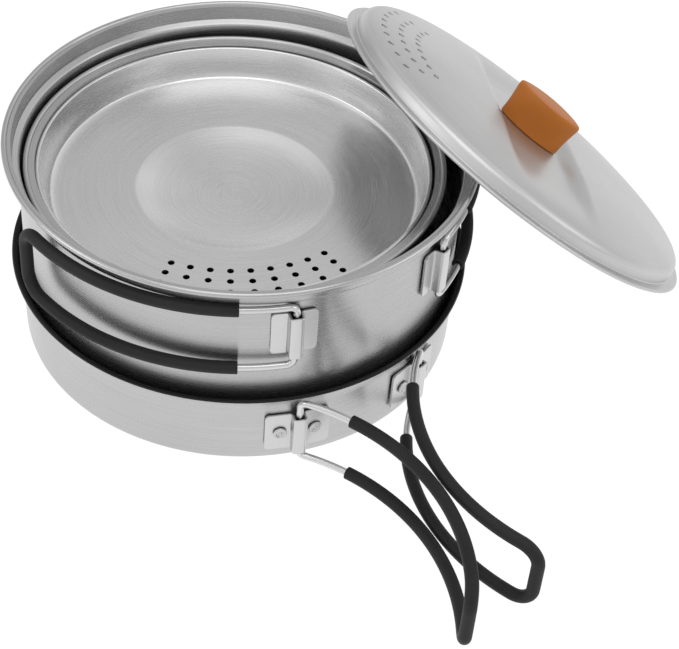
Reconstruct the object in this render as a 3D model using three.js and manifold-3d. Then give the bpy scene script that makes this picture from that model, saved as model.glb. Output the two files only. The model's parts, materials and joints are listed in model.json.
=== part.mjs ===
// Nesting camp cookware: a frying pan, a large pot standing in it, a medium pot nested in the large
// one, a strainer dish closing the medium pot, and a large lid leaning against the large pot's rim.
// Millimetres, +Z up. The origin is the centre of the pan's flat base. +X runs along the middle
// direction of the two unfolded pan handles.
import * as THREE from 'three';
import { mergeVertices } from 'three/addons/utils/BufferGeometryUtils.js';
import initManifold from 'manifold-3d';

const wasm = await initManifold();
wasm.setup();

// ---- driving dimensions ----
const SHEET = 0.8; // wall of the pots, the dish and the lid
const PAN_SHEET = 1.0;
const GAP = 0.3; // air kept between neighbouring pieces
const TURNS = 56; // facets round every turned piece

const PAN_RIM_R = 99.3;
const PAN_WALL_R = 95.6;
const PAN_HEIGHT = 40;

const POT_RIM_R = 100;
const POT_WALL_R = 93.8;
const POT_HEIGHT = 98.6;
const POT_TURN = 2.35; // the large pot stands turned a little from the pan, degrees
const POT_LIFT = PAN_SHEET + GAP; // height of the large pot's base above the ground

const MEDIUM_RIM_R = 89.2;
const MEDIUM_WALL_R = 82.0;
const MEDIUM_HEIGHT = 86.6;
const MEDIUM_TURN = 45; // where the medium pot's brackets face, degrees
const MEDIUM_SHIFT = [-1.5, -2.3]; // the medium pot stands off centre in the large one
const MEDIUM_LIFT = POT_LIFT + SHEET + GAP;

const DISH_RIM_R = 83.7;
const DISH_FLOOR_R = 79.1;
const DISH_TOP = 84.2;
const DISH_FLOOR_Z = 70.2;
const DISH_HOLLOW_R = 42;
const DISH_HOLLOW_DEPTH = 4.2;
const DISH_SHIFT = [-1.8, -2.7];

const WIRE_R = 1.5;
const SLEEVE_R = 2.7;
const SLEEVE_BORE_R = WIRE_R + GAP;
const HANDLE_LENGTH = 123.6; // along the bowed leg, pivot to end loop
const HANDLE_SPREAD = 30.8; // between the two legs
const SLEEVE_START = 22.5; // bare wire between the pivot and the sleeve
const PIVOT_BEND_R = 3.2;
const END_BEND_R = 8.5;
const PIVOT_OFF_WALL = 3.1;

const LID_R = 96.5;
const LID_SHOULDER_R = 91.4;
const LID_SHOULDER_H = 7.2;
const LID_CROWN_H = 13.2;
const LID_TILT = 37.6; // lean of the lid from level, degrees
const LID_AZIMUTH = 79.1; // direction in which the lid slopes down, degrees
const LID_REACH = 132.7; // lid centre from the pan's axis
const LID_CENTRE_Z = 59.9;
const TROUGH_TURN = 65; // direction of the pressed band that holds the knob, degrees
const TROUGH_HALF_WIDTH = 15;
const TROUGH_DEPTH = 4.4;
const KNOB_TURN = -48;
const KNOB_H = 17;

const HOLE_ROWS = 3;
const HOLES_PER_ROW = 9;
const HOLE_R = 1.45;

// ---- colours ----
const STEEL = { color: 0xc9c9c7, roughness: 0.32, metalness: 1.0 };
const POLISHED = { color: 0xd4d4d2, roughness: 0.2, metalness: 1.0 };
const SILICONE = { color: 0x2c2c2c, roughness: 0.75, metalness: 0.0 };
const ORANGE = { color: 0xc8701c, roughness: 0.5, metalness: 0.0 };

const cookset = new THREE.Group();
cookset.name = 'camp_cook_set';

// ---- helpers ----
const rad = (degrees) => THREE.MathUtils.degToRad(degrees);
const polar = (radius, degrees) => [radius * Math.cos(rad(degrees)), radius * Math.sin(rad(degrees))];

function add(name, geometry, look) {
  const mesh = new THREE.Mesh(geometry, new THREE.MeshStandardMaterial(look));
  mesh.name = name;
  cookset.add(mesh);
}

// Turns a closed [radius, z] outline about +Z. The outline runs up its outer side.
function turned(outline, turns = TURNS) {
  const points = outline.map(([radius, z]) => new THREE.Vector2(radius, z));
  return new THREE.LatheGeometry(points, turns).rotateX(Math.PI / 2);
}

// A sheet-metal vessel: the outer outline from the axis to the rim, then back inside it.
function vessel(outer, lip, sheet, turns = TURNS) {
  return turned([...outer, ...lip, ...inset(outer, sheet).reverse()], turns);
}

// Moves an outline inward by the sheet thickness, along the mean of the two neighbouring normals.
function inset(outline, sheet) {
  return outline.map(([radius, z], i) => {
    const before = outline[Math.max(i - 1, 0)];
    const after = outline[Math.min(i + 1, outline.length - 1)];
    const along = new THREE.Vector2(after[0] - before[0], after[1] - before[1]).normalize();
    const moved = radius - along.y * sheet;
    return [radius === 0 ? 0 : moved, radius === 0 ? z + sheet : z + along.x * sheet];
  });
}

function toManifold(geometry) {
  const bare = new THREE.BufferGeometry();
  bare.setAttribute('position', geometry.getAttribute('position'));
  bare.setIndex(geometry.getIndex());
  const merged = mergeVertices(bare, 1e-4);
  const index = Array.from(merged.getIndex().array);
  const kept = [];
  for (let i = 0; i < index.length; i += 3) {
    const [a, b, c] = index.slice(i, i + 3);
    if (a !== b && b !== c && c !== a) kept.push(a, b, c);
  }
  return new wasm.Manifold(new wasm.Mesh({
    numProp: 3,
    vertProperties: new Float32Array(merged.getAttribute('position').array),
    triVerts: new Uint32Array(kept),
  }));
}

function fromManifold(solid) {
  const mesh = solid.getMesh();
  const geometry = new THREE.BufferGeometry();
  geometry.setAttribute('position', new THREE.BufferAttribute(new Float32Array(mesh.vertProperties), 3));
  geometry.setIndex(new THREE.BufferAttribute(new Uint32Array(mesh.triVerts), 1));
  return geometry;
}

function drilled(geometry, drills) {
  let solid = toManifold(geometry);
  for (const drill of drills) solid = solid.subtract(toManifold(drill));
  return fromManifold(solid);
}

// An upright drill or pin on [x, y], from low to high.
function upright(radius, low, high, [x, y], sides = 6) {
  return new THREE.CylinderGeometry(radius, radius, high - low, sides)
    .rotateX(Math.PI / 2)
    .translate(x, y, (low + high) / 2);
}

// ---- turned vessels ----
// The stepped rim that all the pots share: wall, step that carries a lid, flared band, rolled lip.
function steppedWall(wallR, rimR, top) {
  const flareR = rimR - 3.4;
  return [
    [wallR, top - 9.2],
    [wallR + 0.45 * (flareR - wallR), top - 7.6],
    [flareR, top - 2.6],
    [rimR - 1.1, top - 2.5],
    [rimR, top - 1.5],
  ];
}

function rolledLip(rimR, top) {
  return [[rimR - 0.5, top - 0.4], [rimR - 1.8, top], [rimR - 2.9, top - 0.7]];
}

function pot(baseZ, wallR, rimR, top) {
  const base = [[0, baseZ], [wallR - 6.8, baseZ], [wallR - 2.8, baseZ + 1.9], [wallR - 1.2, baseZ + 6]];
  const wall = steppedWall(wallR, rimR, top);
  const inner = [
    ...inset([...base, wall[0]], SHEET),
    [wall[1][0] - SHEET, top - 7.2],
    [wall[2][0] - SHEET, top - 2.8],
  ];
  return turned([...base, ...wall, ...rolledLip(rimR, top), ...inner.reverse()]);
}

function panBody() {
  const outer = [
    [0, 0],
    [PAN_WALL_R - 5.6, 0],
    [PAN_WALL_R - 2, 1.2],
    [PAN_WALL_R - 0.4, 4.2],
    [PAN_WALL_R, PAN_HEIGHT - 5.5],
    [PAN_WALL_R + 1.3, PAN_HEIGHT - 2.2],
    [PAN_RIM_R, PAN_HEIGHT - 0.7],
  ];
  const lip = [[PAN_RIM_R - 0.3, PAN_HEIGHT]];
  return vessel(outer, lip, PAN_SHEET);
}

// ---- hinge brackets ----
// Pressed plate that follows the wall, with a bored channel in the middle for the handle's wire.
function bracketPlan(wallR, halfWidth) {
  const back = wallR + GAP;
  const front = back + 1.1;
  const crest = wallR + PIVOT_OFF_WALL + WIRE_R + 1.25;
  const half = THREE.MathUtils.radToDeg(halfWidth / wallR);
  const degrees = (millimetres) => THREE.MathUtils.radToDeg(millimetres / wallR);
  const rim = [[back, -half], [front, -half], [front, -degrees(4.6)], [crest - 0.7, -degrees(2.4)],
    [crest, -degrees(1.1)], [crest, degrees(1.1)], [crest - 0.7, degrees(2.4)], [front, degrees(4.6)],
    [front, half], [back, half], [back, degrees(3)], [back, -degrees(3)]];
  const shape = new THREE.Shape(rim.map(([radius, turn]) => new THREE.Vector2(...polar(radius, turn))));
  const bore = new THREE.Path();
  bore.absarc(wallR + PIVOT_OFF_WALL, 0, WIRE_R + GAP, 0, 2 * Math.PI, true);
  shape.holes.push(bore);
  return shape;
}

function bracket(wallR, halfWidth, low, high) {
  return new THREE.ExtrudeGeometry(bracketPlan(wallR, halfWidth), {
    depth: high - low, bevelEnabled: false, curveSegments: 4,
  }).translate(0, 0, low);
}

// ---- folding wire handles ----
// A path that is sampled exactly at its stations.
class StationPath extends THREE.Curve {
  constructor(stations) {
    super();
    this.stations = stations;
  }

  getPoint(t) {
    const last = this.stations.length - 1;
    const i = Math.min(Math.floor(t * last + 1e-6), last - 1);
    return this.stations[i].clone().lerp(this.stations[i + 1], t * last - i);
  }

  getPointAt(u) {
    return this.getPoint(u);
  }

  getTangentAt(u) {
    const last = this.stations.length - 1;
    const i = Math.round(u * last);
    const before = this.stations[Math.max(i - 1, 0)];
    const after = this.stations[Math.min(i + 1, last)];
    return after.clone().sub(before).normalize();
  }
}

function corner(centreS, centreZ, radius, from, to) {
  const steps = 4;
  return Array.from({ length: steps + 1 }, (_, i) => {
    const turn = rad(from + ((to - from) * i) / steps);
    return [centreS + radius * Math.cos(turn), centreZ + radius * Math.sin(turn)];
  });
}

function leg(fromS, toS, z, steps) {
  return Array.from({ length: steps }, (_, i) => [fromS + ((toS - fromS) * (i + 1)) / steps, z]);
}

// Half of the handle as [distance along the bow, height above the middle], pivot to end loop.
// The sleeve and the wire in it share their stations.
function halfLoop(fromPivot) {
  const half = HANDLE_SPREAD / 2;
  const legEnd = HANDLE_LENGTH - END_BEND_R;
  const bareWire = [
    [0, 0.4],
    ...corner(PIVOT_BEND_R, half - PIVOT_BEND_R, PIVOT_BEND_R, 180, 90),
    ...leg(PIVOT_BEND_R, SLEEVE_START, half, 2),
  ];
  return [
    ...(fromPivot ? bareWire : [[SLEEVE_START, half]]),
    ...leg(SLEEVE_START, legEnd, half, 6),
    ...corner(legEnd, half - END_BEND_R, END_BEND_R, 90, 0).slice(1),
  ];
}

function loopPath(handle, fromPivot) {
  const upper = halfLoop(fromPivot);
  const lower = upper.map(([s, z]) => [s, -z]).reverse();
  const [pivotX, pivotY] = handle.pivot;
  const [offX, offY] = polar(handle.bow, handle.centreTurn);
  return new StationPath([...upper, ...lower].map(([s, z]) => {
    const turn = handle.centreTurn + 180 + handle.sense * THREE.MathUtils.radToDeg(s / handle.bow);
    const [x, y] = polar(handle.bow, turn);
    return new THREE.Vector3(pivotX + offX + x, pivotY + offY + y, handle.midZ + z);
  }));
}

function swept(path, shape, curveSegments) {
  const steps = path.stations.length - 1;
  return new THREE.ExtrudeGeometry(shape, { steps, extrudePath: path, bevelEnabled: false, curveSegments });
}

function handleWire(handle) {
  const section = new THREE.Shape();
  section.absarc(0, 0, WIRE_R, 0, 2 * Math.PI);
  return swept(loopPath(handle, true), section, 3);
}

function handleSleeve(handle) {
  const section = new THREE.Shape();
  section.absarc(0, 0, SLEEVE_R, 0, 2 * Math.PI);
  const bore = new THREE.Path();
  bore.absarc(0, 0, SLEEVE_BORE_R, 0, 2 * Math.PI, true);
  section.holes.push(bore);
  return swept(loopPath(handle, false), section, 3);
}

// ---- one pan or pot with its pair of brackets and handles ----
const SIDES = [{ name: 'left', sign: -1 }, { name: 'right', sign: 1 }];

// bow: radius of the handle's bow. centreTurn(sign): where the bow's centre lies from the pivot.
function handledVessel(vesselData) {
  const { name, wallR, midZ, turn, spread, shift, bow, centreTurn, bracketHalf, low, high } = vesselData;
  for (const { name: side, sign } of SIDES) {
    const azimuth = turn + sign * spread;
    const [x, y] = polar(wallR + PIVOT_OFF_WALL, azimuth);
    const handle = {
      pivot: [x + shift[0], y + shift[1]], midZ, bow, centreTurn: centreTurn(sign, azimuth), sense: sign,
    };
    add(`${name}_bracket_${side}`, placed(vesselData.bracketOf(wallR, bracketHalf, low, high), azimuth, shift),
      POLISHED);
    add(`${name}_handle_wire_${side}`, handleWire(handle), POLISHED);
    add(`${name}_handle_sleeve_${side}`, handleSleeve(handle), SILICONE);
  }
}

function placed(geometry, azimuth, shift) {
  return geometry.rotateZ(rad(azimuth)).translate(shift[0], shift[1], 0);
}

// Folded handles wrap their wall: the bow's centre lies across the pivot, opened by a hair.
const FOLDED_OPENING = 1;
const foldedCentre = (sign, azimuth) => azimuth + 180 - sign * FOLDED_OPENING;

// ---- frying pan ----
const PAN_SPREAD = 17.7;
const PAN_BRACKET_MID_Z = 18.6;
const PAN_BRACKET_HALF_H = 9.9;
const RIVET_OUT = 7.4; // rivet centre from the channel, along the wall
const RIVET_R = 2.7;
const RIVET_SHANK_R = 1.3;

function radialPin(radius, from, to, azimuth, z, sides) {
  return new THREE.CylinderGeometry(radius, radius, to - from, sides)
    .rotateZ(-Math.PI / 2)
    .translate((from + to) / 2, 0, z)
    .rotateZ(rad(azimuth));
}

function rivet(azimuth) {
  const seat = PAN_WALL_R + 2 * GAP + 1.1;
  const outline = [[0, PAN_WALL_R - PAN_SHEET], [RIVET_SHANK_R, PAN_WALL_R - PAN_SHEET],
    [RIVET_SHANK_R, seat], [RIVET_R, seat], [RIVET_R, seat + 0.5], [RIVET_R - 0.9, seat + 1.1],
    [0, seat + 1.3]];
  return turned(outline, 10)
    .rotateY(Math.PI / 2)
    .translate(0, 0, PAN_BRACKET_MID_Z)
    .rotateZ(rad(azimuth));
}

const rivetTurn = THREE.MathUtils.radToDeg(RIVET_OUT / PAN_WALL_R);
const rivetHole = (azimuth) => radialPin(
  RIVET_SHANK_R + GAP, PAN_WALL_R - 3, PAN_WALL_R + 3, azimuth, PAN_BRACKET_MID_Z, 8);
const rivetAzimuths = SIDES.flatMap(({ sign }) => [
  sign * PAN_SPREAD - rivetTurn, sign * PAN_SPREAD + rivetTurn]);

add('pan_body', drilled(panBody(), rivetAzimuths.map(rivetHole)), STEEL);
rivetAzimuths.forEach((azimuth, i) => add(`pan_rivet_${i + 1}`, rivet(azimuth), POLISHED));
handledVessel({
  name: 'pan',
  wallR: PAN_WALL_R,
  midZ: 21.3,
  turn: 0,
  spread: PAN_SPREAD,
  shift: [0, 0],
  bow: 92,
  centreTurn: (sign) => (sign < 0 ? -51.6 : 38.7),
  bracketHalf: 13.6,
  low: PAN_BRACKET_MID_Z - PAN_BRACKET_HALF_H,
  high: PAN_BRACKET_MID_Z + PAN_BRACKET_HALF_H,
  bracketOf: (...size) => drilled(bracket(...size), [rivetHole(-rivetTurn), rivetHole(rivetTurn)]),
});

// ---- large pot ----
add('pot_body', pot(POT_LIFT, POT_WALL_R, POT_RIM_R, POT_HEIGHT), STEEL);
handledVessel({
  name: 'pot',
  wallR: POT_WALL_R,
  midZ: 73.1,
  turn: POT_TURN,
  spread: 21.95,
  shift: [0, 0],
  bow: 100,
  centreTurn: foldedCentre,
  bracketHalf: 9.3,
  low: 62.5,
  high: 83.8,
  bracketOf: bracket,
});

// ---- medium pot ----
const mediumPot = pot(MEDIUM_LIFT, MEDIUM_WALL_R, MEDIUM_RIM_R, MEDIUM_HEIGHT);
add('medium_pot_body', placed(mediumPot, 0, MEDIUM_SHIFT), STEEL);
handledVessel({
  name: 'medium_pot',
  wallR: MEDIUM_WALL_R,
  midZ: 60,
  turn: MEDIUM_TURN,
  spread: 22,
  shift: MEDIUM_SHIFT,
  bow: 86.8,
  centreTurn: (sign, azimuth) => azimuth + 180 - sign * 0.4,
  bracketHalf: 9.3,
  low: 50,
  high: 70,
  bracketOf: bracket,
});

// ---- strainer dish ----
// Rows of drain holes on arcs, round the direction `middle`. Returns their [x, y].
function holeRows(firstR, rowStep, arcBack, middle, pitch) {
  const spots = [];
  for (let row = 0; row < HOLE_ROWS; row += 1) {
    for (let i = 0; i < HOLES_PER_ROW; i += 1) {
      const turn = middle + (i - (HOLES_PER_ROW - 1) / 2) * pitch;
      const [x, y] = polar(firstR + row * rowStep + arcBack, turn);
      const [backX, backY] = polar(arcBack, middle);
      spots.push([x - backX, y - backY]);
    }
  }
  return spots;
}

function strainerDish() {
  const floorR = DISH_FLOOR_R;
  const outer = [
    [0, DISH_FLOOR_Z - SHEET - DISH_HOLLOW_DEPTH],
    [DISH_HOLLOW_R * 0.5, DISH_FLOOR_Z - SHEET - DISH_HOLLOW_DEPTH * 0.72],
    [DISH_HOLLOW_R * 0.8, DISH_FLOOR_Z - SHEET - DISH_HOLLOW_DEPTH * 0.22],
    [DISH_HOLLOW_R, DISH_FLOOR_Z - SHEET],
    [floorR - 2.4, DISH_FLOOR_Z - SHEET],
    [floorR + 0.4, DISH_FLOOR_Z + 1.6],
    [floorR + 1.1, DISH_TOP - 3.4],
    [DISH_RIM_R - 1.1, DISH_TOP - 1.9],
    [DISH_RIM_R, DISH_TOP - 1.1],
  ];
  const inner = inset(outer.slice(0, -2), SHEET);
  const lip = [[DISH_RIM_R - 0.4, DISH_TOP - 0.2], [DISH_RIM_R - 1.5, DISH_TOP]];
  return turned([...outer, ...lip, ...inner.reverse()]);
}

const dishDrills = holeRows(54.6, 6.3, 12.6, -24.9, 7)
  .map((spot) => upright(HOLE_R, DISH_FLOOR_Z - 4, DISH_FLOOR_Z + 4, spot));
add('strainer_lid', placed(drilled(strainerDish(), dishDrills), 0, DISH_SHIFT), STEEL);

// ---- large lid ----
// The lid is built level about its own centre, rim edge at z = 0, then leaned into place.
function crownHeight(radius) {
  const share = Math.min(radius / LID_SHOULDER_R, 1);
  return LID_CROWN_H - (LID_CROWN_H - LID_SHOULDER_H) * share ** 3;
}

// Depth of the pressed band at [x, y]: full beside the knob, running out at the shoulder.
function troughDepth(x, y) {
  const across = Math.abs(-x * Math.sin(rad(TROUGH_TURN)) + y * Math.cos(rad(TROUGH_TURN)));
  const edge = THREE.MathUtils.smoothstep(across, TROUGH_HALF_WIDTH, TROUGH_HALF_WIDTH + 9);
  const fade = THREE.MathUtils.smoothstep(Math.hypot(x, y), 40, 84);
  return TROUGH_DEPTH * (1 - edge) * (1 - fade);
}

function lidShell() {
  const shoulder = LID_SHOULDER_R;
  const radii = [8, 16, 24, 34, 47, 66, 84];
  const top = radii.map((radius) => [radius, crownHeight(radius)]).reverse();
  const under = radii.map((radius) => [radius, crownHeight(radius) - SHEET]);
  const outline = [
    [0, LID_CROWN_H - SHEET],
    ...under,
    [shoulder - 2.2, LID_SHOULDER_H - 2.6],
    [shoulder - 0.8, -SHEET],
    [LID_R - 0.6, -SHEET],
    [LID_R, -0.1],
    [LID_R - 0.6, 0.7],
    [shoulder + 0.3, 0.2],
    [shoulder, LID_SHOULDER_H - 2.6],
    [shoulder - 2, LID_SHOULDER_H - 0.6],
    ...top,
    [0, LID_CROWN_H],
  ];
  const geometry = turned(outline);
  const spots = geometry.getAttribute('position');
  for (let i = 0; i < spots.count; i += 1) {
    spots.setZ(i, spots.getZ(i) - troughDepth(spots.getX(i), spots.getY(i)));
  }
  return geometry;
}

const LID_HOLE_MIDDLE = 152;
const BAND_Z = LID_CROWN_H - TROUGH_DEPTH; // top of the sheet under the knob
const SCREW_R = 2;

function leaned(geometry) {
  const [x, y] = polar(LID_REACH, LID_AZIMUTH - 0.9);
  return geometry
    .rotateY(rad(LID_TILT))
    .rotateZ(rad(LID_AZIMUTH))
    .translate(x, y, LID_CENTRE_Z);
}

// The knob: a long foot that flares up to a lens-shaped top with a shallow crown.
function knob() {
  const lens = (length, width, z) => Array.from({ length: 16 }, (_, i) => {
    const turn = (2 * Math.PI * (i + 0.5)) / 16;
    const along = Math.sign(Math.cos(turn)) * Math.abs(Math.cos(turn)) ** 0.8;
    return new THREE.Vector3((length / 2) * along, (width / 2) * Math.sin(turn), z);
  });
  const foot = BAND_Z + GAP;
  const rings = [lens(27, 15, foot), lens(29, 17, foot + 6), lens(34, 21, foot + KNOB_H - 2.5),
    lens(34.5, 21.5, foot + KNOB_H - 1), lens(31, 18.5, foot + KNOB_H)];
  const body = stacked(rings);
  const screwHole = upright(SCREW_R + GAP, foot - 1, foot + 9.3, [0, 0], 10);
  return drilled(body, [screwHole]).rotateZ(rad(KNOB_TURN));
}

// Joins equal rings of points, low to high, into one closed body.
function stacked(rings) {
  const count = rings[0].length;
  const centreOf = (ring) => ring.reduce((sum, p) => sum.add(p), new THREE.Vector3()).divideScalar(count);
  const points = [...rings.flat(), centreOf(rings[0]), centreOf(rings[rings.length - 1])];
  const index = [];
  for (let i = 0; i < count; i += 1) {
    const next = (i + 1) % count;
    for (let level = 0; level < rings.length - 1; level += 1) {
      const low = level * count;
      const high = low + count;
      index.push(low + i, low + next, high + next, low + i, high + next, high + i);
    }
    const top = (rings.length - 1) * count;
    index.push(points.length - 2, next, i);
    index.push(points.length - 1, top + i, top + next);
  }
  const geometry = new THREE.BufferGeometry().setFromPoints(points);
  geometry.setIndex(index);
  return geometry;
}

// Pan-head screw from under the lid, with a washer below the sheet.
const WASHER_T = 1.2;
const washerTop = BAND_Z - SHEET - GAP;

function knobScrew() {
  const headTop = washerTop - WASHER_T - GAP;
  return turned([[0, headTop - 2], [3, headTop - 1.8], [3.9, headTop - 0.7], [3.9, headTop],
    [SCREW_R, headTop], [SCREW_R, BAND_Z + 9], [0, BAND_Z + 9]], 12);
}

function knobWasher() {
  return turned([[SCREW_R + GAP, washerTop - WASHER_T], [6, washerTop - WASHER_T],
    [6, washerTop], [SCREW_R + GAP, washerTop], [SCREW_R + GAP, washerTop - WASHER_T]], 12);
}

const lidDrills = holeRows(65.5, 8.6, 0, LID_HOLE_MIDDLE, 6.9)
  .map((spot) => upright(HOLE_R, 0, LID_CROWN_H + 4, spot));
lidDrills.push(upright(SCREW_R + GAP, 0, LID_CROWN_H + 4, [0, 0], 10));
add('lid_shell', leaned(drilled(lidShell(), lidDrills)), STEEL);
add('lid_knob', leaned(knob()), ORANGE);
add('lid_knob_screw', leaned(knobScrew()), POLISHED);
add('lid_knob_washer', leaned(knobWasher()), POLISHED);

export default cookset;
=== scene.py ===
"""Looks of a nesting camp cook set: brushed steel vessels, folding wire handles in silicone
sleeves, a strainer dish and a leaning lid with an orange knob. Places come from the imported
CAD part. Shapes are worked out in millimetres and turned into metres when a piece is made."""

import json
import math

import bmesh
import bpy
from mathutils import Matrix, Vector


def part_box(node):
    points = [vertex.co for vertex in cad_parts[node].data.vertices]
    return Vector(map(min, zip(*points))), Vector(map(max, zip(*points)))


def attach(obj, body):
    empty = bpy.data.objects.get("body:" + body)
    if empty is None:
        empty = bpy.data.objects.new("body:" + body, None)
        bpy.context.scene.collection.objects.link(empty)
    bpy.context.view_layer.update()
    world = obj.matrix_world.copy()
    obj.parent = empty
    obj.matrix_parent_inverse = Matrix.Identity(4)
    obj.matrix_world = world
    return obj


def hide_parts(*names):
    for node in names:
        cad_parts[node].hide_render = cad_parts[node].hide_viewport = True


MM = 0.001
TURNS = 240  # facets round a turned piece

# ---- camera, in metres and degrees ----
CAMERA_AT = (0.48956, -0.31729, 0.54414)
CAMERA_HEADING = 142.487
CAMERA_DOWN = 43.431
CAMERA_ROLL = 4.759
CAMERA_LENS = 92.585

# ---- sizes in millimetres ----
SHEET = 0.8
PAN_SHEET = 1.0
COATING = 0.2
POT_WALL_R = 93.8
MEDIUM_WALL_R = 82.0
GAP = 0.3
WIRE_R = 1.5
SLEEVE_R = 2.7
SLEEVE_BORE_R = WIRE_R + GAP
PIVOT_OFF_WALL = 3.1
HANDLE_LENGTH = 123.6
HANDLE_SPREAD = 30.8
SLEEVE_START = 22.5
PIVOT_BEND_R = 3.2
END_BEND_R = 8.5
PLATE_T = 0.95
RIVET_R = 2.9
RIVET_OUT = 7.4
HOLE_R = 1.45
HOLE_ROWS = 3
HOLES_PER_ROW = 9
BEAD_R = 1.25  # rolled lip of the pots
PAN_FLARE = 3.7  # the pan's rim beyond its wall
DISH_DEPTH = 14.0
DISH_FLARE = 4.4
DISH_LIP_R = 0.9
DISH_HOLLOW_R = 42.3
DISH_HOLLOW_DEPTH = 4.2
PAN_PLATE_HALF = 13.6  # half width of a hinge bracket
POT_PLATE_HALF = 9.3
PLATE_CORNER_R = 2.2
PLATE_EDGE = 0.3
PLATE_CREASE = 4.2  # from the middle of a bracket to where its flat flange begins
SLEEVE_EDGE = 0.3
PAN_BOW_R = 92
POT_BOW_R = 100
MEDIUM_BOW_R = 86.8
LID_R = 96.5
LID_EDGE_R = 0.75
LID_SHOULDER_R = 91.4
LID_SHOULDER_H = 7.2
LID_CROWN_H = 13.2
TROUGH_TURN = 65
TROUGH_HALF_WIDTH = 15
TROUGH_DEPTH = 4.4
KNOB_TURN = -48
KNOB_H = 17
KNOB_LENGTH = 34.5
KNOB_WIDTH = 21.5
SCREW_R = 2
WASHER_T = 1.2
BAND_Z = LID_CROWN_H - TROUGH_DEPTH
SHARP = 32  # edges sharper than this many degrees stay crisp

# name, azimuth and height in degrees, distance and size in metres, power in watts
SOFT_BOXES = (
    ("overhead_box", -20, 78, 1.6, 1.2, 5),
    ("left_box", -110, 35, 1.8, 1.0, 4),
    ("right_box", 40, 30, 1.8, 1.0, 3),
)

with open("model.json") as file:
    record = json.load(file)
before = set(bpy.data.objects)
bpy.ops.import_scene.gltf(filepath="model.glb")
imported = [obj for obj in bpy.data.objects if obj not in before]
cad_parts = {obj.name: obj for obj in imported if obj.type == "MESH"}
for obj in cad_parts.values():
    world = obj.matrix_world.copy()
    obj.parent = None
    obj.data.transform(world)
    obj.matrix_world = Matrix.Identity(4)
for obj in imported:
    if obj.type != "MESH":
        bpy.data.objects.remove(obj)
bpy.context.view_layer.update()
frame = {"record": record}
JOINTS = {joint["name"]: joint for joint in frame["record"]["behaviour"]["joints"]}


# ---- helpers for shapes ----
def polar(radius, degrees):
    turn = math.radians(degrees)
    return radius * math.cos(turn), radius * math.sin(turn)


def box_mm(node):
    low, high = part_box(node)
    return low / MM, high / MM


def smoothstep(value, low, high):
    share = min(max((value - low) / (high - low), 0), 1)
    return share * share * (3 - 2 * share)


def filleted(corners, steps=6):
    """Polyline through [x, y] or [x, y, cut]. A corner with a cut is rounded over that length."""
    line = []
    for i, corner in enumerate(corners):
        here = Vector(corner[:2])
        cut = corner[2] if len(corner) > 2 else 0
        if not cut:
            line.append(here)
            continue
        before = Vector(corners[i - 1][:2]) - here
        after = Vector(corners[(i + 1) % len(corners)][:2]) - here
        start = here + before.normalized() * min(cut, before.length * 0.48)
        end = here + after.normalized() * min(cut, after.length * 0.48)
        for k in range(steps + 1):
            t = k / steps
            line.append(start * (1 - t) ** 2 + here * 2 * t * (1 - t) + end * t * t)
    return line


def inset(line, depth):
    """The line moved to its left by depth, as the inner side of a sheet."""
    moved = []
    for i, here in enumerate(line):
        before = line[max(i - 1, 0)]
        after = line[min(i + 1, len(line) - 1)]
        along = (after - before).normalized()
        spot = here + Vector((-along.y, along.x)) * depth
        moved.append(Vector((max(spot.x, 0), spot.y)))
    return moved


def arc(centre, radius, start, end, steps=12):
    angles = [start + (end - start) * k / steps for k in range(steps + 1)]
    return [Vector(centre) + Vector(polar(radius, angle)) for angle in angles]


def turned(outline, turns=TURNS):
    """Vertices and faces of an [r, z] outline turned about Z. Points on the axis are poles."""
    verts = []
    rings = []
    for point in outline:
        if point[0] < 1e-6:
            rings.append([len(verts)] * turns)
            verts.append((0, 0, point[1]))
        else:
            rings.append(list(range(len(verts), len(verts) + turns)))
            for i in range(turns):
                verts.append((*polar(point[0], 360 * i / turns), point[1]))
    return verts, skin(rings, closed=outline[0][0] > 1e-6)


def skin(rings, closed):
    """Quads between neighbouring rings, and from the last ring back to the first if closed."""
    faces = []
    count = len(rings[0])
    pairs = list(zip(rings, rings[1:]))
    if closed:
        pairs.append((rings[-1], rings[0]))
    for low, high in pairs:
        for i in range(count):
            k = (i + 1) % count
            face = []
            for index in (low[i], low[k], high[k], high[i]):
                if index not in face:
                    face.append(index)
            if len(face) > 2:
                faces.append(face)
    return faces


def piece(name, shape, look, body, node=None, at=None, sharp=SHARP):
    """Makes one object from a shape in millimetres, ties it to its CAD body and hides its CAD node."""
    verts, faces = shape
    mesh = bpy.data.meshes.new(name)
    mesh.from_pydata([Vector(spot) * MM for spot in verts], [], faces)
    tidy = bmesh.new()
    tidy.from_mesh(mesh)
    bmesh.ops.remove_doubles(tidy, verts=tidy.verts, dist=1e-7)
    bmesh.ops.recalc_face_normals(tidy, faces=tidy.faces)
    tidy.to_mesh(mesh)
    tidy.free()
    mesh.shade_smooth()
    mesh.set_sharp_from_angle(angle=math.radians(sharp))
    mesh.materials.append(look)
    made = bpy.data.objects.new(name, mesh)
    bpy.context.scene.collection.objects.link(made)
    made.matrix_world = at if at is not None else Matrix()
    if body is None:
        return made
    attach(made, body)
    if node:
        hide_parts(node)
    return made


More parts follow.
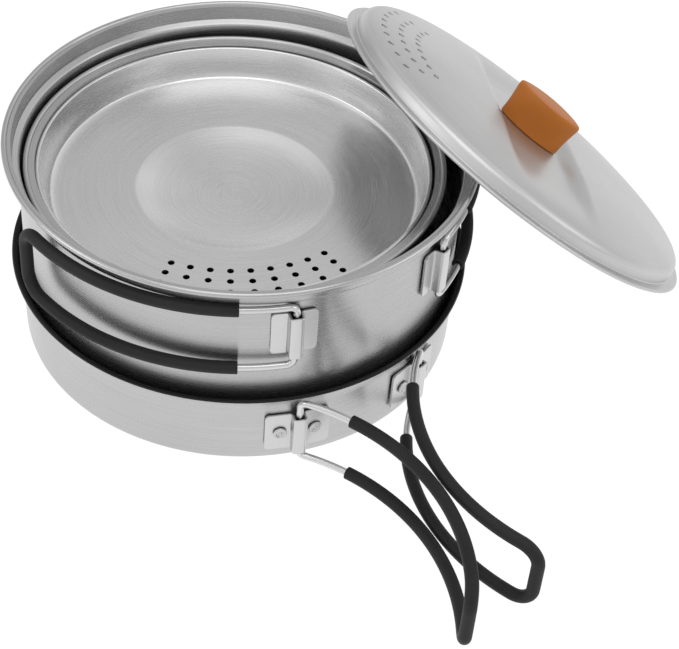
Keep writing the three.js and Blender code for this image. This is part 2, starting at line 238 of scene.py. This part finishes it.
def drill(made, drills):
    """Cuts round holes. drills are (spot, radius, low, high) in the object's own millimetres."""
    verts = []
    faces = []
    for (x, y), radius, low, high in drills:
        shape = turned([(0, low), (radius, low), (radius, high), (0, high)], 28)
        faces += [[index + len(verts) for index in face] for face in shape[1]]
        verts += [(vx + x, vy + y, vz) for vx, vy, vz in shape[0]]
    look = made.data.materials[0]
    cutter = piece(made.name + "_drills", (verts, faces), look, None, at=made.matrix_world.copy())
    cut = made.modifiers.new("holes", "BOOLEAN")
    cut.operation = "DIFFERENCE"
    cut.solver = "EXACT"
    cut.object = cutter
    graph = bpy.context.evaluated_depsgraph_get()
    mesh = bpy.data.meshes.new_from_object(made.evaluated_get(graph))
    made.modifiers.clear()
    made.data = mesh
    mesh.set_sharp_from_angle(angle=math.radians(SHARP))
    bpy.data.objects.remove(cutter)


# ---- materials ----
def node_of(tree, kind, inputs=None, **settings):
    made = tree.nodes.new(kind)
    for key, value in settings.items():
        setattr(made, key, value)
    for key, value in (inputs or {}).items():
        made.inputs[key].default_value = value
    return made


def new_look(name):
    look = bpy.data.materials.new(name)
    look.use_nodes = True
    tree = look.node_tree
    return look, tree, tree.nodes["Principled BSDF"]


def ramp_of(tree, stops):
    made = node_of(tree, "ShaderNodeValToRGB")
    ramp = made.color_ramp
    for i, (position, colour) in enumerate(stops):
        stop = ramp.elements[i] if i < 2 else ramp.elements.new(position)
        stop.position = position
        stop.color = (*colour, 1)
    return made


def grain_coords(tree, turned_about_axis, own_frame):
    """Coordinates that are stretched along the brushing, taken in the piece's own frame."""
    coords = node_of(tree, "ShaderNodeTexCoord")
    own = node_of(tree, "ShaderNodeMapping", vector_type="TEXTURE")
    own.inputs["Location"].default_value = own_frame.to_translation()
    own.inputs["Rotation"].default_value = own_frame.to_euler()
    tree.links.new(coords.outputs["Object"], own.inputs["Vector"])
    split = node_of(tree, "ShaderNodeSeparateXYZ")
    tree.links.new(own.outputs["Vector"], split.inputs[0])
    join = node_of(tree, "ShaderNodeCombineXYZ")
    if not turned_about_axis:
        squeeze = node_of(tree, "ShaderNodeMath", {1: 0.04}, operation="MULTIPLY")
        tree.links.new(split.outputs["Y"], squeeze.inputs[0])
        tree.links.new(split.outputs["X"], join.inputs["X"])
        tree.links.new(squeeze.outputs[0], join.inputs["Y"])
        tree.links.new(split.outputs["Z"], join.inputs["Z"])
        return coords, join
    flat = node_of(tree, "ShaderNodeCombineXYZ")
    tree.links.new(split.outputs["X"], flat.inputs["X"])
    tree.links.new(split.outputs["Y"], flat.inputs["Y"])
    radius = node_of(tree, "ShaderNodeVectorMath", operation="LENGTH")
    tree.links.new(flat.outputs[0], radius.inputs[0])
    angle = node_of(tree, "ShaderNodeMath", operation="ARCTAN2")
    tree.links.new(split.outputs["Y"], angle.inputs[0])
    tree.links.new(split.outputs["X"], angle.inputs[1])
    squeeze = node_of(tree, "ShaderNodeMath", {1: 0.0008}, operation="MULTIPLY")
    tree.links.new(angle.outputs[0], squeeze.inputs[0])
    tree.links.new(radius.outputs["Value"], join.inputs["X"])
    tree.links.new(squeeze.outputs[0], join.inputs["Y"])
    tree.links.new(split.outputs["Z"], join.inputs["Z"])
    return coords, join


def steel(name, shade, roughness, grain=1.0, anisotropy=0.7, turned_about_axis=True, own_frame=None):
    """Brushed stainless steel. shade is the pair of greys it drifts between, grain is how strong
    the brushing shows, and own_frame is where a piece whose mesh was leaned has its own axes."""
    look, tree, shader = new_look(name)
    shader.inputs["Metallic"].default_value = 1.0
    shader.inputs["Anisotropic"].default_value = anisotropy
    shader.inputs["Anisotropic Rotation"].default_value = 0.25
    coords, along = grain_coords(tree, turned_about_axis, own_frame or Matrix())
    tangent = node_of(tree, "ShaderNodeTangent", direction_type="RADIAL", axis="Z")
    tree.links.new(tangent.outputs[0], shader.inputs["Tangent"])
    drift = node_of(tree, "ShaderNodeTexNoise", {"Scale": 14, "Detail": 3})
    tree.links.new(coords.outputs["Object"], drift.inputs["Vector"])
    lines = node_of(tree, "ShaderNodeTexNoise", {"Scale": 1600, "Detail": 4, "Roughness": 0.7})
    tree.links.new(along.outputs[0], lines.inputs["Vector"])
    tone = ramp_of(tree, [(0.3, (shade[0],) * 3), (0.7, (shade[1],) * 3)])
    tree.links.new(drift.outputs["Fac"], tone.inputs["Fac"])
    streak = node_of(tree, "ShaderNodeMapRange", {
        "From Min": 0.3, "From Max": 0.7, "To Min": 1 - 0.05 * grain, "To Max": 1 + 0.04 * grain,
    })
    tree.links.new(lines.outputs["Fac"], streak.inputs["Value"])
    tinted = node_of(tree, "ShaderNodeVectorMath", operation="SCALE")
    tree.links.new(tone.outputs["Color"], tinted.inputs[0])
    tree.links.new(streak.outputs["Result"], tinted.inputs["Scale"])
    tree.links.new(tinted.outputs[0], shader.inputs["Base Color"])
    rough = node_of(tree, "ShaderNodeMapRange", {"To Min": roughness - 0.05, "To Max": roughness + 0.06})
    tree.links.new(lines.outputs["Fac"], rough.inputs["Value"])
    tree.links.new(rough.outputs["Result"], shader.inputs["Roughness"])
    bump = node_of(tree, "ShaderNodeBump", {"Strength": 0.05 * grain, "Distance": 0.0001})
    tree.links.new(lines.outputs["Fac"], bump.inputs["Height"])
    tree.links.new(bump.outputs["Normal"], shader.inputs["Normal"])
    return look


def soft_look(name, dark, light, roughness, specks, bumpiness, gloss=0.25):
    """A matt coloured material with a fine speckled surface."""
    look, tree, shader = new_look(name)
    shader.inputs["Specular IOR Level"].default_value = gloss
    coords = node_of(tree, "ShaderNodeTexCoord")
    drift = node_of(tree, "ShaderNodeTexNoise", {"Scale": 35, "Detail": 4})
    tree.links.new(coords.outputs["Object"], drift.inputs["Vector"])
    tone = ramp_of(tree, [(0.35, dark), (0.65, light)])
    tree.links.new(drift.outputs["Fac"], tone.inputs["Fac"])
    tree.links.new(tone.outputs["Color"], shader.inputs["Base Color"])
    fine = node_of(tree, "ShaderNodeTexNoise", {"Scale": specks, "Detail": 3})
    tree.links.new(coords.outputs["Object"], fine.inputs["Vector"])
    rough = node_of(tree, "ShaderNodeMapRange", {"To Min": roughness - 0.07, "To Max": roughness + 0.07})
    tree.links.new(fine.outputs["Fac"], rough.inputs["Value"])
    tree.links.new(rough.outputs["Result"], shader.inputs["Roughness"])
    bump = node_of(tree, "ShaderNodeBump", {"Strength": bumpiness, "Distance": 0.0001})
    tree.links.new(fine.outputs["Fac"], bump.inputs["Height"])
    tree.links.new(bump.outputs["Normal"], shader.inputs["Normal"])
    return look


VESSEL_STEEL = steel("vessel_steel", (0.47, 0.52), 0.27, 1.4)
DISH_STEEL = steel("dish_steel", (0.66, 0.71), 0.26, 1.3, 0.55)
PLATE_STEEL = steel("plate_steel", (0.55, 0.62), 0.30, 0.5, 0.0, False)
WIRE_STEEL = steel("wire_steel", (0.60, 0.68), 0.20, 0.3, 0.0, False)
SILICONE = soft_look("silicone", (0.011, 0.011, 0.012), (0.017, 0.017, 0.018), 0.6, 900, 0.25)
NON_STICK = soft_look("non_stick", (0.004, 0.004, 0.005), (0.009, 0.009, 0.009), 0.45, 2200, 0.2)
ORANGE = soft_look("orange", (0.40, 0.115, 0.007), (0.47, 0.145, 0.010), 0.5, 1200, 0.3, 0.4)


# ---- turned vessels ----
def axis_of(node):
    low, high = box_mm(node)
    return (low + high) / 2, (high.x - low.x) / 2, low.z, high.z


def bead(rim_r, top, radius):
    """Rolled lip, from under its outer side over the top to the inner side."""
    return arc((rim_r - radius, top - radius), radius, -80, 165, 16)


def pot_outline(rim_r, wall_r, top):
    """A pot's outline: rounded foot, wall, stepped rim and rolled lip, then back down its inside."""
    foot = [(0, 0), (wall_r - 5.2, 0, 5), (wall_r - 1.6, 2.6, 2.6), (wall_r, 9, 3)]
    outer = filleted([
        *foot, (wall_r, top - 9.6, 1.2), (wall_r + 2.6, top - 8.3, 1.2),
        (wall_r + 2.9, top - 2.9, 0.5), (rim_r - 1.5, top - 2.7),
    ])
    hem = filleted([
        *foot, (wall_r, top - 9.4, 0.5), (wall_r + 2.7, top - 8.1, 0.6), (wall_r + 3.1, top - 1.2),
    ])
    return [*outer, *bead(rim_r, top, BEAD_R), *reversed(inset(hem, SHEET))]


def make_pot(name, body, wall_r):
    centre, rim_r, base, top = axis_of(name)
    shape = turned(pot_outline(rim_r, wall_r, top - base))
    at = Matrix.Translation(Vector((centre.x, centre.y, base)) * MM)
    piece(name + "_shell", shape, VESSEL_STEEL, body, name, at)
    return centre


def make_pan():
    """The pan's steel shell, with the coating that lines it and covers its lip."""
    centre, rim_r, base, top = axis_of("pan_body")
    wall_r = rim_r - PAN_FLARE
    outer = filleted([
        (0, base), (wall_r - 4, base, 4), (wall_r - 0.6, base + 2.6, 3), (wall_r, top - 7, 3),
        (rim_r - 1.6, top - 1.7, 0.8), (rim_r, top - 1.0),
    ], 8)
    inner = inset(outer, PAN_SHEET)[:-2]
    coat = inset(outer, PAN_SHEET + COATING)[:-2]
    seam = Vector((rim_r - 0.4, top - 0.8))
    lip = [Vector((rim_r - 0.02, top - 0.8)), Vector((rim_r - 0.25, top - 0.15)), Vector((rim_r - 0.8, top))]
    steel_part = [*outer, seam, *reversed(inner)]
    black = [*inner, seam, *lip, *reversed(coat)]
    at = Matrix.Translation(Vector((centre.x, centre.y, 0)) * MM)
    piece("pan_shell", turned(steel_part), VESSEL_STEEL, "pan", "pan_body", at)
    piece("pan_coating", turned(black), NON_STICK, "pan", None, at)
    return centre, wall_r


# ---- hinge brackets and rivets ----
def bracket_section(half_width):
    """Plan of the pressed plate as [out from the wall, along the wall]: its face, then its back."""
    front = GAP + 1.1
    crest = PIVOT_OFF_WALL + WIRE_R + GAP + PLATE_T
    face = filleted([
        (front, -half_width), (front, -2.95, 0.9), (crest, -2.8, 1.6),
        (crest, 2.8, 1.6), (front, 2.95, 0.9), (front, half_width),
    ])
    return [*face, *reversed(inset(face, PLATE_T))]


def bracket(wall_r, half_width, height):
    """A plate that follows the wall, with rounded corners and softened edges."""
    section = bracket_section(half_width)
    round_over = [(1 - math.cos(turn), 1 - math.sin(turn)) for turn in (0, 0.4, 0.8, 1.2, 1.57)]
    levels = [(PLATE_EDGE * rise, PLATE_EDGE * shrink) for rise, shrink in round_over]
    levels += [(PLATE_EDGE + (PLATE_CORNER_R - PLATE_EDGE) * k / 8, 0) for k in range(1, 9)]
    levels = levels + [(height - rise, shrink) for rise, shrink in reversed(levels)]
    verts = []
    rings = []
    for z, shrink in levels:
        down = max(PLATE_CORNER_R - min(z, height - z), 0)
        half = half_width - PLATE_CORNER_R + math.sqrt(max(PLATE_CORNER_R ** 2 - down ** 2, 0))
        rings.append(list(range(len(verts), len(verts) + len(section))))
        for i, spot in enumerate(section):
            along = (section[(i + 1) % len(section)] - section[i - 1]).normalized()
            out, side = spot + Vector((-along.y, along.x)) * shrink
            if abs(side) > PLATE_CREASE:
                share = (half - PLATE_CREASE) / (half_width - PLATE_CREASE)
                side = math.copysign(PLATE_CREASE + (abs(side) - PLATE_CREASE) * share, side)
            verts.append((*polar(wall_r + out, math.degrees(side / wall_r)), z))
    return verts, skin(rings, closed=False) + cap(rings[0]) + cap(rings[-1])


def cap(ring):
    """Quads across a ring whose second half runs back along its first half."""
    last = len(ring) - 1
    return [[ring[i], ring[i + 1], ring[last - 1 - i], ring[last - i]] for i in range(last // 2)]


def make_bracket(node, body, centre, wall_r, azimuth, half_width):
    low, high = box_mm(node)
    shape = bracket(wall_r, half_width, high.z - low.z)
    spot = Vector((centre.x, centre.y, low.z)) * MM
    at = Matrix.Translation(spot) @ Matrix.Rotation(math.radians(azimuth), 4, "Z")
    piece(node + "_plate", shape, PLATE_STEEL, body, node, at, 50)


def make_rivet(node, centre, wall_r, azimuth, z):
    seat = wall_r + 2 * GAP + 1.1
    outline = filleted([
        (0, wall_r - PAN_SHEET), (1.3, wall_r - PAN_SHEET), (1.3, seat), (RIVET_R, seat),
        (RIVET_R, seat + 0.75, 0.5), (RIVET_R - 1.0, seat + 0.95, 0.4), (1.55, seat + 0.35, 0.3),
        (0.95, seat + 0.35, 0.2), (0.6, seat + 0.75, 0.25), (0, seat + 0.8),
    ])
    spot = Vector((centre.x, centre.y, z)) * MM
    turn = Matrix.Rotation(math.radians(azimuth), 4, "Z") @ Matrix.Rotation(math.pi / 2, 4, "Y")
    at = Matrix.Translation(spot) @ turn
    piece(node + "_head", turned(outline, 48), PLATE_STEEL, "pan", node, at)


# ---- folding wire handles ----
def half_loop(from_pivot):
    """Half of the handle as [distance along the bow, height], from the pivot to the end loop."""
    half = HANDLE_SPREAD / 2
    leg_end = HANDLE_LENGTH - END_BEND_R
    line = []
    if from_pivot:
        line.append(Vector((0, 0.4)))
        line += arc((PIVOT_BEND_R, half - PIVOT_BEND_R), PIVOT_BEND_R, 180, 90)
        line += [Vector((PIVOT_BEND_R + (SLEEVE_START - PIVOT_BEND_R) * k / 6, half)) for k in range(1, 6)]
    line += [Vector((SLEEVE_START + (leg_end - SLEEVE_START) * k / 30, half)) for k in range(30)]
    line += arc((leg_end, half - END_BEND_R), END_BEND_R, 90, 0, 14)
    return line


def loop_frames(handle, from_pivot):
    """Centre and two cross directions at each station of the handle."""
    upper = half_loop(from_pivot)
    stations = upper + [Vector((s, -z)) for s, z in reversed(upper)]
    off = Vector((*polar(handle["bow"], handle["bow_turn"]), 0))
    spots = []
    outs = []
    for s, z in stations:
        turn = handle["bow_turn"] + 180 + handle["sense"] * math.degrees(s / handle["bow"])
        out = Vector((*polar(1, turn), 0))
        spots.append(handle["pivot"] + off + out * handle["bow"] + Vector((0, 0, z)))
        outs.append(out)
    frames = []
    for i, spot in enumerate(spots):
        along = (spots[min(i + 1, len(spots) - 1)] - spots[max(i - 1, 0)]).normalized()
        frames.append((spot, along, outs[i], along.cross(outs[i])))
    return frames


def tube(rings, sides=20):
    """Vertices of round (centre, out, side, radius) rings, and each ring's indices."""
    verts = []
    index = []
    for centre, out, side, radius in rings:
        index.append(list(range(len(verts), len(verts) + sides)))
        for i in range(sides):
            x, y = polar(radius, 360 * i / sides)
            verts.append(centre + out * x + side * y)
    return verts, index


def wire_shape(handle):
    frames = loop_frames(handle, True)
    rings = [(spot, out, side, WIRE_R) for spot, _, out, side in frames]
    verts, index = tube(rings)
    return verts, skin(index, closed=False) + [list(reversed(index[0])), index[-1]]


def sleeve_shape(handle):
    """A tube with softened ends. Its skin runs out along the outside and back along the bore."""
    frames = loop_frames(handle, False)
    ends = ((0, SLEEVE_EDGE), (0.3 * SLEEVE_EDGE, 0.3 * SLEEVE_EDGE), (SLEEVE_EDGE, 0))
    rings = [(*ring_at(frames[0], step), SLEEVE_R - less) for step, less in ends]
    rings += [(spot, out, side, SLEEVE_R) for spot, _, out, side in frames[1:-1]]
    rings += [(*ring_at(frames[-1], -step), SLEEVE_R - less) for step, less in reversed(ends)]
    rings += [(spot, out, side, SLEEVE_BORE_R) for spot, _, out, side in reversed(frames)]
    verts, index = tube(rings)
    return verts, skin(index, closed=True)


def ring_at(station, shift):
    spot, along, out, side = station
    return spot + along * shift, out, side


def make_handle(prefix, side, body, handle):
    wire = f"{prefix}_handle_wire_{side}"
    sleeve = f"{prefix}_handle_sleeve_{side}"
    piece(wire + "_bow", wire_shape(handle), WIRE_STEEL, body, wire, sharp=60)
    piece(sleeve + "_cover", sleeve_shape(handle), SILICONE, body, sleeve, sharp=60)


def make_hardware(prefix, vessel_body, handle_body, joint, centre, wall_r, half_width, bow):
    """Bracket, wire and sleeve on both sides of one vessel. Pivots come from the joints.
    bow is the handle's bow radius and a function for where the bow's centre lies."""
    bow_r, bow_turn = bow
    azimuths = []
    for side, sense in (("left", -1), ("right", 1)):
        pivot = Vector(JOINTS[joint.format(side)]["pos_m"]) / MM
        arm = pivot - Vector((centre.x, centre.y, pivot.z))
        azimuth = math.degrees(math.atan2(arm.y, arm.x))
        azimuths.append(azimuth)
        handle = {"pivot": pivot, "sense": sense, "bow": bow_r, "bow_turn": bow_turn(sense, azimuth)}
        node = f"{prefix}_bracket_{side}"
        make_bracket(node, vessel_body, centre, wall_r, azimuth, half_width)
        make_handle(prefix, side, handle_body.format(side), handle)
    return azimuths


# ---- strainer dish and lid ----
def hole_rows(first_r, row_step, arc_back, middle, pitch):
    """Drain holes in rows on arcs round one direction, as [x, y]."""
    spots = []
    back = Vector(polar(arc_back, middle))
    for row in range(HOLE_ROWS):
        for i in range(HOLES_PER_ROW):
            turn = middle + (i - (HOLES_PER_ROW - 1) / 2) * pitch
            spots.append(Vector(polar(first_r + row * row_step + arc_back, turn)) - back)
    return spots


def make_dish():
    centre, rim_r, low, high = axis_of("strainer_lid")
    top = high - low
    floor = top - DISH_DEPTH - SHEET
    floor_r = rim_r - DISH_FLARE
    outer = filleted([
        (0, floor - DISH_HOLLOW_DEPTH), (18, floor - 3.9, 9), (33, floor - 2.4, 8),
        (DISH_HOLLOW_R, floor, 0.8),
        (floor_r - 1.0, floor, 5), (floor_r + 0.7, floor + 3.5, 2.4), (rim_r - 1.5, top - 1.9),
    ], 8)
    inner = inset(outer[:-1], SHEET)
    lip = arc((rim_r - DISH_LIP_R, top - DISH_LIP_R), DISH_LIP_R, -60, 150, 12)
    outline = [*outer, *lip, *reversed(inner)]
    at = Matrix.Translation(Vector((centre.x, centre.y, low)) * MM)
    dish = piece("strainer_dish", turned(outline), DISH_STEEL, "strainer", "strainer_lid", at)
    spots = hole_rows(54.6, 6.3, 12.6, -24.9, 7)
    drill(dish, [(spot, HOLE_R, floor - 3, floor + 4) for spot in spots])


def lid_matrix():
    """The leaning lid's own frame, from its joint and from the washer on its axis."""
    normal = Vector(JOINTS["lid_away"]["axis"]).normalized()
    low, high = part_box("lid_knob_washer")
    washer_z = (BAND_Z - SHEET - GAP - WASHER_T / 2) * MM
    centre = (low + high) / 2 - normal * washer_z
    lean = Matrix.Rotation(math.acos(normal.z), 4, "Y")
    face = Matrix.Rotation(math.atan2(normal.y, normal.x), 4, "Z")
    return Matrix.Translation(centre) @ face @ lean


def crown(radius):
    share = min(radius / LID_SHOULDER_R, 1)
    return LID_CROWN_H - (LID_CROWN_H - LID_SHOULDER_H) * share ** 3


def trough(x, y):
    """Depth of the pressed band that holds the knob. It fades out before the shoulder."""
    turn = math.radians(TROUGH_TURN)
    across = abs(-x * math.sin(turn) + y * math.cos(turn))
    edge = smoothstep(across, TROUGH_HALF_WIDTH, TROUGH_HALF_WIDTH + 9)
    fade = smoothstep(math.hypot(x, y), 40, 84)
    return TROUGH_DEPTH * (1 - edge) * (1 - fade)


def make_lid(at):
    top = [Vector((radius, crown(radius))) for radius in range(84)]
    brow = filleted([
        (84, crown(84)), (LID_SHOULDER_R - 0.2, LID_SHOULDER_H - 0.2, 4.6), (LID_SHOULDER_R + 0.3, 0.7, 0.6),
        (LID_R - 1.2, 0.65),
    ], 12)
    edge = arc((LID_R - LID_EDGE_R, -0.05), LID_EDGE_R, 90, -90, 10)
    upper = [*top, *brow]
    under = inset(list(reversed(upper)), SHEET)
    outline = [*upper, *edge, *under]
    verts, faces = turned(outline)
    verts = [(x, y, z - trough(x, y)) for x, y, z in verts]
    look = steel("lid_steel", (0.54, 0.60), 0.41, 1.2, 0.0, own_frame=at)
    lid = piece("lid_shell_sheet", (verts, faces), look, "large_lid", "lid_shell", at)
    drills = [(spot, HOLE_R, 0, LID_CROWN_H + 4) for spot in hole_rows(65.5, 8.6, 0, 152, 6.9)]
    drills.append(((0, 0), SCREW_R + GAP, 0, LID_CROWN_H + 4))
    drill(lid, drills)
    lid.data.transform(at)
    lid.matrix_world = Matrix()


def make_knob(at):
    """A long foot that flares up to a lens-shaped top with a soft edge and a shallow crown."""
    foot = BAND_Z + GAP
    profile = filleted([
        (0, foot), (0.92, foot, 0.02), (0.93, foot + 6, 3), (0.99, foot + KNOB_H - 3.4, 1.2),
        (1.0, foot + KNOB_H - 1.2, 0.9), (0.92, foot + KNOB_H - 0.1, 0.9), (0, foot + KNOB_H),
    ])
    count = 72
    verts = []
    rings = []
    for share, z in profile:
        rings.append(list(range(len(verts), len(verts) + count)))
        for i in range(count):
            turn = 2 * math.pi * (i + 0.5) / count
            across = math.copysign(abs(math.sin(turn)) ** 1.4, math.sin(turn))
            width = KNOB_WIDTH - 5.0 * smoothstep(foot + KNOB_H - 2 - z, 0, KNOB_H - 2)
            x = KNOB_LENGTH / 2 * share * math.cos(turn)
            verts.append((x, width / 2 * across * min(share * 1.06, 1), z))
    turn = Matrix.Rotation(math.radians(KNOB_TURN), 4, "Z")
    shape = (verts, skin(rings, closed=False))
    knob = piece("lid_knob_grip", shape, ORANGE, "large_lid", "lid_knob", at @ turn)
    drill(knob, [((0, 0), SCREW_R + GAP, foot - 1, foot + 9.3)])


def make_fixing(at):
    washer_top = BAND_Z - SHEET - GAP
    head = washer_top - WASHER_T - GAP
    screw = filleted([
        (0, head - 2), (3, head - 2, 0.8), (3.9, head - 0.9, 0.8), (3.9, head), (SCREW_R, head),
        (SCREW_R, BAND_Z + 8.4, 0.4), (SCREW_R - 0.6, BAND_Z + 9), (0, BAND_Z + 9),
    ])
    ring = [
        (SCREW_R + GAP, washer_top - WASHER_T), (6, washer_top - WASHER_T, 0.3), (6, washer_top, 0.3),
        (SCREW_R + GAP, washer_top),
    ]
    name = "lid_knob_screw"
    piece(name + "_steel", turned(screw, 48), WIRE_STEEL, "large_lid", name, at)
    name = "lid_knob_washer"
    piece(name + "_steel", turned(filleted(ring), 48), PLATE_STEEL, "large_lid", name, at)


# ---- studio ----
def make_floor():
    """A pale floor with a light of its own, so that it stays even under the cook set."""
    look, tree, shader = new_look("floor")
    coords = node_of(tree, "ShaderNodeTexCoord")
    noise = node_of(tree, "ShaderNodeTexNoise", {"Scale": 6, "Detail": 2})
    tree.links.new(coords.outputs["Object"], noise.inputs["Vector"])
    tone = ramp_of(tree, [(0.3, (0.05, 0.05, 0.05)), (0.7, (0.07, 0.07, 0.07))])
    tree.links.new(noise.outputs["Fac"], tone.inputs["Fac"])
    tree.links.new(tone.outputs["Color"], shader.inputs["Base Color"])
    shader.inputs["Roughness"].default_value = 0.9
    shader.inputs["Specular IOR Level"].default_value = 0.0
    shader.inputs["Emission Color"].default_value = (1, 1, 1, 1)
    shader.inputs["Emission Strength"].default_value = 1.0
    shape = turned([(0, -4), (6000, -4), (6000, -0.2), (0, -0.2)], 64)
    floor = piece("studio_floor", shape, look, None)


def make_world():
    """A pale sky, darker towards the horizon, with broad soft patches for the steel to pick up."""
    world = bpy.data.worlds.new("studio")
    bpy.context.scene.world = world
    world.use_nodes = True
    tree = world.node_tree
    coords = node_of(tree, "ShaderNodeTexCoord")
    split = node_of(tree, "ShaderNodeSeparateXYZ")
    tree.links.new(coords.outputs["Generated"], split.inputs[0])
    sky = ramp_of(tree, [(0.0, (0.62, 0.62, 0.62)), (0.35, (0.85, 0.85, 0.85)), (1.0, (1.0, 1.0, 1.0))])
    tree.links.new(split.outputs["Z"], sky.inputs["Fac"])
    panels = node_of(tree, "ShaderNodeTexNoise", {"Scale": 1.7, "Detail": 1})
    tree.links.new(coords.outputs["Generated"], panels.inputs["Vector"])
    share = node_of(tree, "ShaderNodeMapRange", {
        "From Min": 0.4, "From Max": 0.6, "To Min": 0.66, "To Max": 1.15,
    })
    tree.links.new(panels.outputs["Fac"], share.inputs["Value"])
    uneven = node_of(tree, "ShaderNodeVectorMath", operation="SCALE")
    tree.links.new(sky.outputs["Color"], uneven.inputs[0])
    tree.links.new(share.outputs["Result"], uneven.inputs["Scale"])
    back = tree.nodes["Background"]
    tree.links.new(uneven.outputs[0], back.inputs["Color"])
    back.inputs["Strength"].default_value = 1.0


def soft_box(name, azimuth, height, distance, size, power):
    """A square softbox that faces the cook set from one side."""
    lamp = bpy.data.lights.new(name, "AREA")
    lamp.shape = "SQUARE"
    lamp.size = size
    lamp.energy = power
    made = bpy.data.objects.new(name, lamp)
    level = distance * math.cos(math.radians(height))
    spot = Vector((*polar(level, azimuth), distance * math.sin(math.radians(height))))
    made.location = spot
    made.rotation_mode = "QUATERNION"
    made.rotation_quaternion = (-spot).to_track_quat("-Z", "Y")
    bpy.context.scene.collection.objects.link(made)


def make_camera():
    heading = math.radians(CAMERA_HEADING)
    down = math.radians(CAMERA_DOWN)
    roll = math.radians(CAMERA_ROLL)
    level = Vector((math.cos(heading), math.sin(heading), 0))
    forward = level * math.cos(down) - Vector((0, 0, math.sin(down)))
    right = Vector((math.sin(heading), -math.cos(heading), 0))
    up = right.cross(forward)
    rolled_right = right * math.cos(roll) + up * math.sin(roll)
    rolled_up = up * math.cos(roll) - right * math.sin(roll)
    turn = Matrix((rolled_right, rolled_up, -forward)).transposed().to_4x4()
    camera = bpy.data.cameras.new("photo_view")
    camera.lens = CAMERA_LENS
    camera.clip_end = 20
    made = bpy.data.objects.new("photo_view", camera)
    made.matrix_world = Matrix.Translation(CAMERA_AT) @ turn
    bpy.context.scene.collection.objects.link(made)
    bpy.context.scene.camera = made


# ---- build ----
pan_centre, pan_wall_r = make_pan()
pan_bow = (PAN_BOW_R, lambda sense, azimuth: -51.6 if sense < 0 else 38.7)
pot_bow = (POT_BOW_R, lambda sense, azimuth: azimuth + 180 - sense)
medium_bow = (MEDIUM_BOW_R, lambda sense, azimuth: azimuth + 180 - sense * 0.4)
pan_turns = make_hardware(
    "pan", "pan", "pan_handle_{}", "pan_handle_{}_fold", pan_centre, pan_wall_r, PAN_PLATE_HALF, pan_bow)
rivet_turn = math.degrees(RIVET_OUT / pan_wall_r)
rivet_turns = [azimuth + side * rivet_turn for azimuth in pan_turns for side in (-1, 1)]
for number, azimuth in enumerate(rivet_turns, 1):
    rivet_low, rivet_high = box_mm(f"pan_rivet_{number}")
    make_rivet(f"pan_rivet_{number}", pan_centre, pan_wall_r, azimuth, (rivet_low.z + rivet_high.z) / 2)

pot_centre = make_pot("pot_body", "large_pot", POT_WALL_R)
make_hardware(
    "pot", "large_pot", "pot_handle_{}", "pot_handle_{}_open", pot_centre, POT_WALL_R,
    POT_PLATE_HALF, pot_bow)
medium_centre = make_pot("medium_pot_body", "medium_pot", MEDIUM_WALL_R)
make_hardware(
    "medium_pot", "medium_pot", "medium_handle_{}", "medium_handle_{}_open", medium_centre,
    MEDIUM_WALL_R, POT_PLATE_HALF, medium_bow)

make_dish()
lid_at = lid_matrix()
make_lid(lid_at)
make_knob(lid_at)
make_fixing(lid_at)

make_floor()
make_world()
for box in SOFT_BOXES:
    soft_box(*box)
make_camera()
bpy.context.scene.view_settings.view_transform = "Standard"
